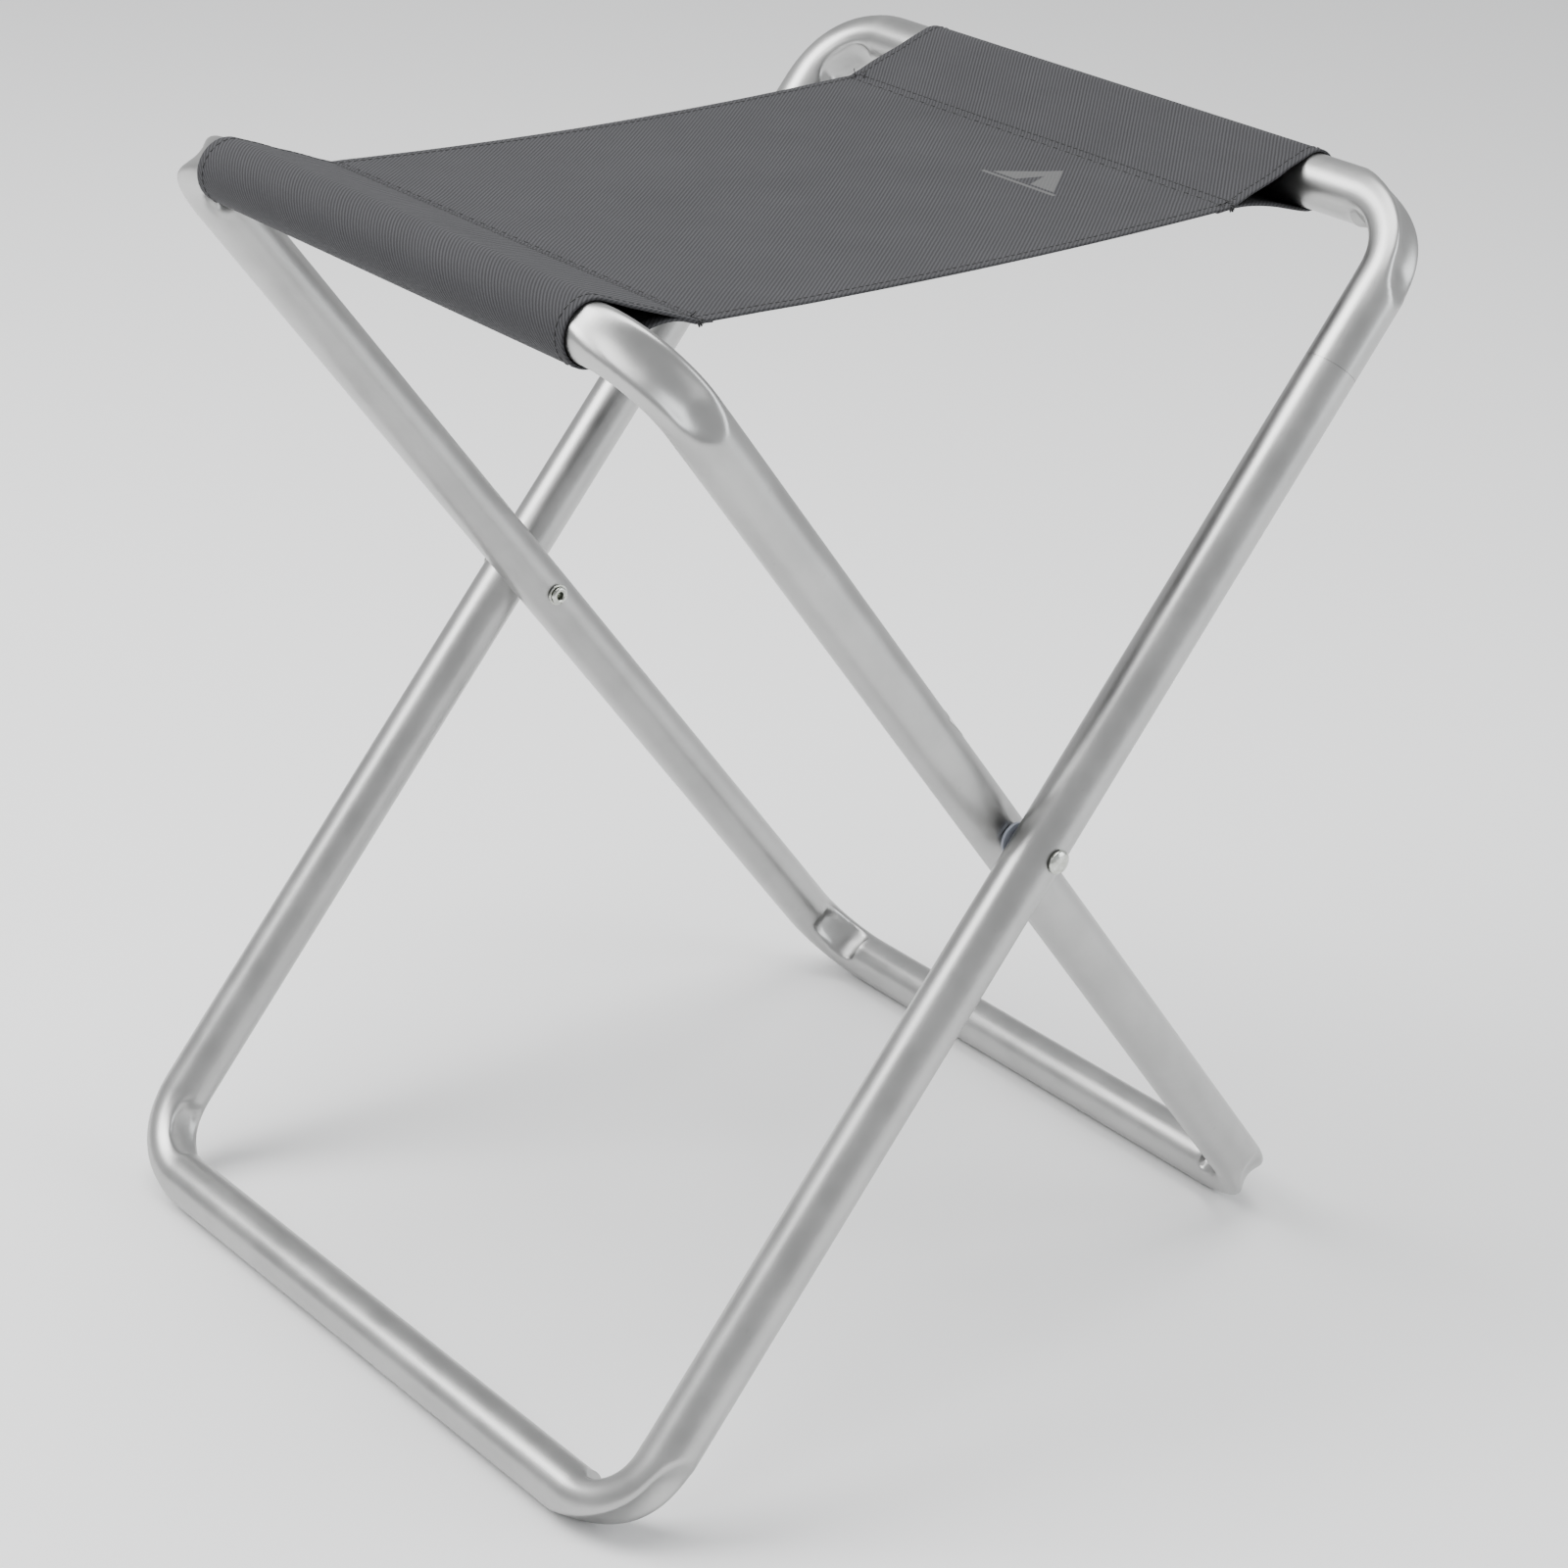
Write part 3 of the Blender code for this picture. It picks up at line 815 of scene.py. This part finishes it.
def tunnel_point(x, distance, side):
    """Outer face of a tunnel. side is +1 on the rear rail and -1 on the front one."""
    inward, height = on_profile(PROFILES[side], distance)
    free = smooth(distance / 0.012) * smooth((0.043 - distance) / 0.016)
    height += 0.0008 * free * ripple(x, distance, 0.070, 0.013, 3.1 if side > 0 else 8.4)
    under = smooth((distance - 0.092) / 0.02) * smooth((0.137 - distance) / 0.01)
    height += 0.0005 * under * ripple(x, distance, 0.045, 0.022, 5.2)
    return Vector((x, side * (REAR_RAIL.y - inward), REAR_RAIL.z + height))


def panel_point(x, y, sag):
    """Outer face of the panel, tight between the seams."""
    share = min(abs(y) / SEAM_Y, 1.0)
    inner = 1 - min(abs(2 * x / SEAT_WIDTH), 1.0) ** 4
    hollow = (1 - share ** 2) * (0.80 + 0.35 * inner)
    height = SEAM_Z - sag * hollow
    front = smooth((-y - 0.035) / 0.09)
    rear = smooth((y - 0.070) / 0.06)
    held = smooth((SEAM_Y - abs(y)) / 0.010)
    height += (0.00015 + 0.0008 * inner) * front * held * ripple(x, y, 0.052, 0.019, 1.7)
    height += 0.0004 * inner * rear * held * ripple(x, y, 0.040, 0.016, 6.3)
    height += (0.0001 + 0.0004 * inner) * held * ripple(x, y, 0.110, 0.070, 9.9)
    near_seam = math.exp(-((SEAM_Y - abs(y)) / 0.0035) ** 2)
    height -= 0.00025 * near_seam * math.cos(2 * math.pi * x / 0.0066)
    waist = 1 - 0.010 * (1 - share ** 2)
    return Vector((x * waist, y, height))


def main_surface(x, along, sag):
    """Outer face of the main cloth: the panel from its front seam, then the rear tunnel."""
    if along <= PANEL_LENGTH:
        return panel_point(x, along - SEAM_Y, sag)
    return tunnel_point(x, along - PANEL_LENGTH, 1)


def front_surface(x, along):
    """Outer face of the front tunnel. along counts back from the front seam."""
    return tunnel_point(x, -along, -1)


def stitch_mesh(rows, surface):
    """Rows of stitches. Each row is a list of (x, along) places on the flat cloth, a stitch apart."""
    bm = bmesh.new()
    for row in rows:
        for (x0, a0), (x1, a1) in zip(row, row[1:]):
            middle = ((x0 + x1) / 2, (a0 + a1) / 2)
            centre = surface(*middle)
            normal = cloth_normal(surface, *middle)
            run = (surface(x1, a1) - surface(x0, a0)).normalized()
            cross = normal.cross(run).normalized()
            axes = Matrix((run, cross, normal)).transposed().to_4x4()
            size = Matrix.Diagonal((STITCH_LENGTH / 2, 0.00036, 0.00026, 1.0))
            matrix = Matrix.Translation(centre + normal * 0.00006) @ axes @ size
            bmesh.ops.create_uvsphere(bm, u_segments=6, v_segments=5, radius=1.0,
                                      matrix=matrix @ Matrix.Rotation(math.pi / 2, 4, "Y"))
    return bm


def straight_row(start, end):
    """Even places from start to end, about a stitch apart."""
    count = max(2, round(math.dist(start, end) / STITCH_PITCH))
    return [
        tuple(low + (high - low) * step / count for low, high in zip(start, end))
        for step in range(count + 1)
    ]


def thread_end(bm, start, course, radius=0.00022):
    """A loose end of thread: a thin round tube through a few offsets."""
    steps = [Vector(offset) for offset in course]
    direction = steps[0].normalized()
    matrix = Matrix.Translation(start) @ direction.to_track_quat("Z", "Y").to_matrix().to_4x4()
    rim = bmesh.ops.create_circle(bm, cap_ends=True, segments=6, radius=radius, matrix=matrix)["verts"]
    tip = [rim[0].link_faces[0]]
    for offset in steps:
        made = bmesh.ops.extrude_face_region(bm, geom=tip)["geom"]
        bmesh.ops.delete(bm, geom=[face for face in tip if face.is_valid and offset is not steps[0]],
                         context="FACES_ONLY")
        tip, verts = faces_and_verts(made)
        bmesh.ops.translate(bm, verts=verts, vec=offset)


def frayed_tip(bm, corner, towards, count):
    """A tuft of short strands where a cut corner of the seam sticks out."""
    reach = 0.0026
    for index in range(count):
        spread = Vector([noise.noise(Vector((index * 7.31, axis * 3.17, 2.2))) for axis in range(3)])
        start = corner + spread * 0.0016
        step = (towards + spread * 1.1).normalized() * reach * (0.24 + 0.12 * spread.z)
        drop = Vector((0, 0, -reach * 0.07))
        thread_end(bm, start, [step, step + drop, step * 0.8 + drop * 2.5], radius=0.0003)


# Operators


class CAMPSTOOL_OT_tubes(bpy.types.Operator):
    """Bends both frame tubes, presses their corners and drills them for the rivets"""

    bl_idname = "campstool.tubes"
    bl_label = "Frame Tubes"
    bl_options = {"REGISTER", "UNDO"}

    def execute(self, context):
        settings = context.scene.stool_frame
        metal = satin_aluminium(settings.aluminium, settings.satin, own_map=True)
        outer_butt = LOWER_LEG - BEND_RADIUS + UPPER_LEG - OUTER_BUTT_DROP
        outer = build_tube("outer_tube", OUTER_WIDTH, 0, outer_butt, -LEG_ANGLE, 0.0, metal, settings)
        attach(outer, "outer_frame")
        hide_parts("outer_frame_tube")
        inner_butt = INNER_WIDTH / 2 - BEND_RADIUS
        inner = build_tube("inner_tube", INNER_WIDTH, 1, inner_butt, LEG_ANGLE, 0.0004, metal, settings)
        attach(inner, "inner_frame")
        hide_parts("inner_frame_tube")
        plain = satin_aluminium(settings.aluminium, settings.satin, own_map=False)
        for name in ("outer_frame_joint_insert", "inner_frame_joint_insert"):
            insert = frame["nodes"][name]
            insert.data.materials.clear()
            insert.data.materials.append(plain)
        return {"FINISHED"}


class CAMPSTOOL_OT_pivots(bpy.types.Operator):
    """Turns the rivets, spacers and washers"""

    bl_idname = "campstool.pivots"
    bl_label = "Rivets and Washers"
    bl_options = {"REGISTER", "UNDO"}

    def execute(self, context):
        settings = context.scene.stool_frame
        zinc = plated_zinc(settings.zinc)
        nylon = grey_nylon(settings.nylon)
        middle = (INNER_WIDTH + OUTER_WIDTH) / 4
        clinch = 2 * TUBE_RADIUS + FRAME_SPACING / 2 + CONTACT_GAP + WASHER_THICKNESS / 2
        bore = RIVET_RADIUS + CONTACT_GAP
        for name, side in (("right", 1), ("left", -1)):
            parts = (
                ("pivot_rivet", "rivet", rivet_shape(), zinc, "zinc_steel", 0.0),
                ("spacer_washer", "spacer", washer_shape(SPACER_THICKNESS, SPACER_RADIUS, bore), nylon,
                 "spacer_nylon", -0.0002),
                ("clinch_washer", "washer", washer_shape(WASHER_THICKNESS, WASHER_RADIUS, bore), zinc,
                 "zinc_steel", -clinch),
            )
            for node, label, bm, material, slot, offset in parts:
                matrix = Matrix.Translation(PIVOT + Vector((side * (middle + offset), 0, 0)))
                if side < 0:
                    matrix = matrix @ Matrix.Rotation(math.pi, 4, "Z")
                bmesh.ops.transform(bm, matrix=matrix, verts=bm.verts)
                piece = add_piece(f"{name}_{label}", bm, material, "outer_frame")
                piece.data.set_sharp_from_angle(angle=math.radians(38))
                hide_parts(f"{name}_{node}")
        return {"FINISHED"}


class CAMPSTOOL_OT_seat(bpy.types.Operator):
    """Cuts the seat's two sheets flat and wraps them round the rails"""

    bl_idname = "campstool.seat"
    bl_label = "Seat Cloth"
    bl_options = {"REGISTER", "UNDO"}

    def execute(self, context):
        settings = context.scene.stool_seat
        twill = seat_twill(settings)
        across = across_stops()
        tunnel = span(0.0, TUNNEL_LENGTH, 0.0019)

        def main_shape(x, along):
            return hemmed(lambda a, b: main_surface(a, b, settings.sag), x, along)

        rows = span(0.00003, PANEL_LENGTH, 0.0023) + [PANEL_LENGTH + value for value in tunnel[1:]]
        cloth = add_piece("seat_cloth", cut_cloth(across, rows, main_shape), twill)
        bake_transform(cloth)
        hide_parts("seat_rear_tunnel", "seat_rear_panel", "seat_front_panel")

        def front_shape(x, along):
            return hemmed(front_surface, x, along)

        rows = [-value for value in reversed(tunnel)]
        bm = cut_cloth(across, rows, front_shape)
        front = add_piece("seat_front_tunnel_cloth", bm, twill, "front_tunnel")
        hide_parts("seat_front_tunnel")
        return {"FINISHED"}


class CAMPSTOOL_OT_sewing(bpy.types.Operator):
    """Sews the hems and the seams, stitch by stitch"""

    bl_idname = "campstool.sewing"
    bl_label = "Sewing"
    bl_options = {"REGISTER", "UNDO"}

    def execute(self, context):
        settings = context.scene.stool_seat
        thread = thread_with_painted_hole_shade(settings.thread)
        edge = SEAT_WIDTH / 2 - HEM_ROW
        row = ROW_SPACING / 2
        wrap = TUNNEL_LENGTH - 0.012

        def main_cloth(x, along):
            return main_surface(x, along, settings.sag)

        rows = [
            straight_row((-edge, row), (edge, row)),
            straight_row((-edge, PANEL_LENGTH - row), (edge, PANEL_LENGTH - row)),
            straight_row((-edge, PANEL_LENGTH + row), (edge, PANEL_LENGTH + row)),
        ]
        for side in (-1, 1):
            rows.append(straight_row((side * edge, 0.001), (side * edge, PANEL_LENGTH + wrap)))
            rows += self.tack(side * edge, PANEL_LENGTH, side)
            rows += self.tack(side * edge, 0.0012, side)[:2]
        bm = stitch_mesh(rows, main_cloth)
        far_corner = main_cloth(-edge, PANEL_LENGTH)
        thread_end(bm, far_corner,
                   [(-0.0006, 0.0, 0.0012), (-0.0008, 0.0004, 0.0011), (-0.0009, 0.0006, 0.0006)])
        thread_end(bm, far_corner + Vector((0.004, 0.001, 0)),
                   [(0.0004, 0.0, 0.0011), (0.0002, 0.0003, 0.0012), (-0.0002, 0.0005, 0.0010)])
        near_corner = main_cloth(edge, PANEL_LENGTH)
        thread_end(bm, near_corner,
                   [(0.0008, 0.0006, 0.0010), (0.0012, 0.0004, 0.0004), (0.001, 0.0006, -0.0003)])
        thread_end(bm, near_corner + Vector((0, -0.003, 0)),
                   [(0.0010, 0.0, 0.0006), (0.0011, -0.0006, 0.0001), (0.0010, -0.0008, -0.0005)])
        past_hem = Vector((0.0028, 0, -0.0006))
        frayed_tip(bm, near_corner + past_hem, Vector((1.0, -0.1, -0.10)), 10)
        frayed_tip(bm, main_cloth(edge, 0.0) + past_hem, Vector((1.0, 0.2, -0.10)), 12)
        sewing = add_piece("seat_sewing", bm, thread)
        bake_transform(sewing)

        rows = [straight_row((-edge, -row), (edge, -row))]
        for side in (-1, 1):
            rows.append(straight_row((side * edge, -0.001), (side * edge, -wrap)))
        bm = stitch_mesh(rows, front_surface)
        corner = front_surface(edge, -0.001)
        thread_end(bm, corner, [(0.0008, 0.0, 0.0009), (0.0009, 0.0003, 0.0009), (0.0004, 0.0002, 0.0008)])
        sewing = add_piece("front_tunnel_sewing", bm, thread, "front_tunnel")
        return {"FINISHED"}

    def tack(self, x, along, side):
        """A short zigzag that locks a seam's end."""
        reach = 0.0045
        bars = []
        for step in range(4):
            place = along - reach + 0.003 * step
            bars.append([(x - side * 0.0002, place), (x + side * 0.0014, place)])
        return bars + [[(x, along - reach), (x, along)], [(x, along), (x, along + reach)]]


class CAMPSTOOL_OT_label(bpy.types.Operator):
    """Lays a blank label round the inner tube's right leg, above the rivet"""

    bl_idname = "campstool.label"
    bl_label = "Blank Label"
    bl_options = {"REGISTER", "UNDO"}

    def execute(self, context):
        bm = bmesh.new()
        bmesh.ops.create_grid(bm, x_segments=24, y_segments=8, size=0.5)
        radius = TUBE_RADIUS + LABEL_GAP
        tilt = Matrix.Translation(PIVOT) @ Matrix.Rotation(LEG_ANGLE, 4, "X")
        for vert in bm.verts:
            angle = math.radians(46 + 24 * (0.5 - vert.co.y) + 80 * (vert.co.x + 0.5))
            height = LABEL_HEIGHT + vert.co.y * LABEL_WIDTH
            place = Vector((INNER_WIDTH / 2 + radius * math.cos(angle), radius * math.sin(angle), height))
            vert.co = tilt @ place
        bm.normal_update()
        bmesh.ops.solidify(bm, geom=bm.faces[:], thickness=0.00009)
        bmesh.ops.recalc_face_normals(bm, faces=bm.faces)
        label = add_piece("blank_label", bm, blank_paper(), "inner_frame")
        return {"FINISHED"}


class CAMPSTOOL_OT_stage(bpy.types.Operator):
    """Sets the floor, the soft lights and the camera"""

    bl_idname = "campstool.stage"
    bl_label = "Stage"
    bl_options = {"REGISTER", "UNDO"}

    def execute(self, context):
        settings = context.scene.stool_stage
        self.add_floor(settings)
        self.add_camera(context, settings)
        right, up, back = self.camera_axes(settings)
        target = Vector((0, 0, 0.24))
        white, cool = (1.0, 1.0, 1.0), (0.95, 0.98, 1.0)
        lights = (
            ("key_softbox", target - right * 1.5 + up * 1.5 + back * 0.9, (1.3, 1.3), 1.0, white),
            ("side_softbox", target + right * 1.9 + up * 0.5 + back * 0.6, (0.9, 1.6), 0.30, cool),
            ("top_softbox", target + Vector((0, 0, 2.2)), (1.6, 1.6), 0.75, white),
        )
        for name, place, size, share, colour in lights:
            self.add_light(name, place, target, size, settings.key_power * share, colour)
        world = context.scene.world or bpy.data.worlds.new("studio")
        context.scene.world = world
        world.use_nodes = True
        background = world.node_tree.nodes.get("Background")
        background.inputs["Color"].default_value = (0.92, 0.93, 0.94, 1.0)
        background.inputs["Strength"].default_value = 0.75
        return {"FINISHED"}

    def camera_axes(self, settings):
        azimuth, elevation = settings.azimuth, settings.elevation
        back = Vector((math.sin(azimuth) * math.cos(elevation), -math.cos(azimuth) * math.cos(elevation),
                       math.sin(elevation)))
        right = Vector((math.cos(azimuth), math.sin(azimuth), 0.0))
        return right, back.cross(right), back

    def add_camera(self, context, settings):
        right, up, back = self.camera_axes(settings)
        roll = settings.roll
        side = right * math.cos(roll) + up * math.sin(roll)
        top = up * math.cos(roll) - right * math.sin(roll)
        data = bpy.data.cameras.new("camera")
        data.lens = settings.lens
        data.sensor_width = 36.0
        camera = bpy.data.objects.new("camera", data)
        context.scene.collection.objects.link(camera)
        place = Vector((0.0, 0.02011, 0.19968)) + back * settings.distance
        camera.matrix_world = Matrix.Translation(place) @ Matrix((side, top, back)).transposed().to_4x4()
        context.scene.camera = camera

    def add_floor(self, settings):
        bm = bmesh.new()
        bmesh.ops.create_grid(bm, x_segments=1, y_segments=1, size=8.0)
        nodes = Nodes("studio_floor")
        nodes.finish(colour=(*settings.floor, 1.0), roughness=0.9, specular=0.2)
        add_piece("studio_floor", bm, nodes.material)

    def add_light(self, name, place, target, size, power, colour):
        data = bpy.data.lights.new(name, "AREA")
        data.shape = "RECTANGLE"
        data.size, data.size_y = size
        data.energy = power
        data.color = colour
        light = bpy.data.objects.new(name, data)
        bpy.context.scene.collection.objects.link(light)
        light.location = place
        light.rotation_euler = (place - target).to_track_quat("Z", "Y").to_euler()


class CAMPSTOOL_PT_sidebar(bpy.types.Panel):
    """Settings and steps of the camp stool"""

    bl_idname = "CAMPSTOOL_PT_sidebar"
    bl_label = "Folding Camp Stool"
    bl_space_type = "VIEW_3D"
    bl_region_type = "UI"
    bl_category = "Camp Stool"

    def draw(self, context):
        layout = self.layout
        scene = context.scene
        for group in (scene.stool_frame, scene.stool_seat, scene.stool_stage):
            box = layout.box()
            box.label(text=group.__doc__)
            for name in group.__annotations__:
                box.prop(group, name)
        for step in STEPS:
            layout.operator(step.bl_idname)


STEPS = (CAMPSTOOL_OT_tubes, CAMPSTOOL_OT_pivots, CAMPSTOOL_OT_seat, CAMPSTOOL_OT_sewing,
         CAMPSTOOL_OT_label, CAMPSTOOL_OT_stage)
CLASSES = (StoolFrameSettings, StoolSeatSettings, StoolStageSettings, *STEPS, CAMPSTOOL_PT_sidebar)


def register():
    for item in CLASSES:
        bpy.utils.register_class(item)
    bpy.types.Scene.stool_frame = PointerProperty(type=StoolFrameSettings)
    bpy.types.Scene.stool_seat = PointerProperty(type=StoolSeatSettings)
    bpy.types.Scene.stool_stage = PointerProperty(type=StoolStageSettings)


def unregister():
    del bpy.types.Scene.stool_frame
    del bpy.types.Scene.stool_seat
    del bpy.types.Scene.stool_stage
    for item in reversed(CLASSES):
        bpy.utils.unregister_class(item)


def main():
    register()
    bpy.ops.campstool.stage()
    bpy.ops.campstool.tubes()
    bpy.ops.campstool.pivots()
    bpy.ops.campstool.seat()
    bpy.ops.campstool.sewing()
    bpy.ops.campstool.label()


if __name__ == "__main__":
    main()
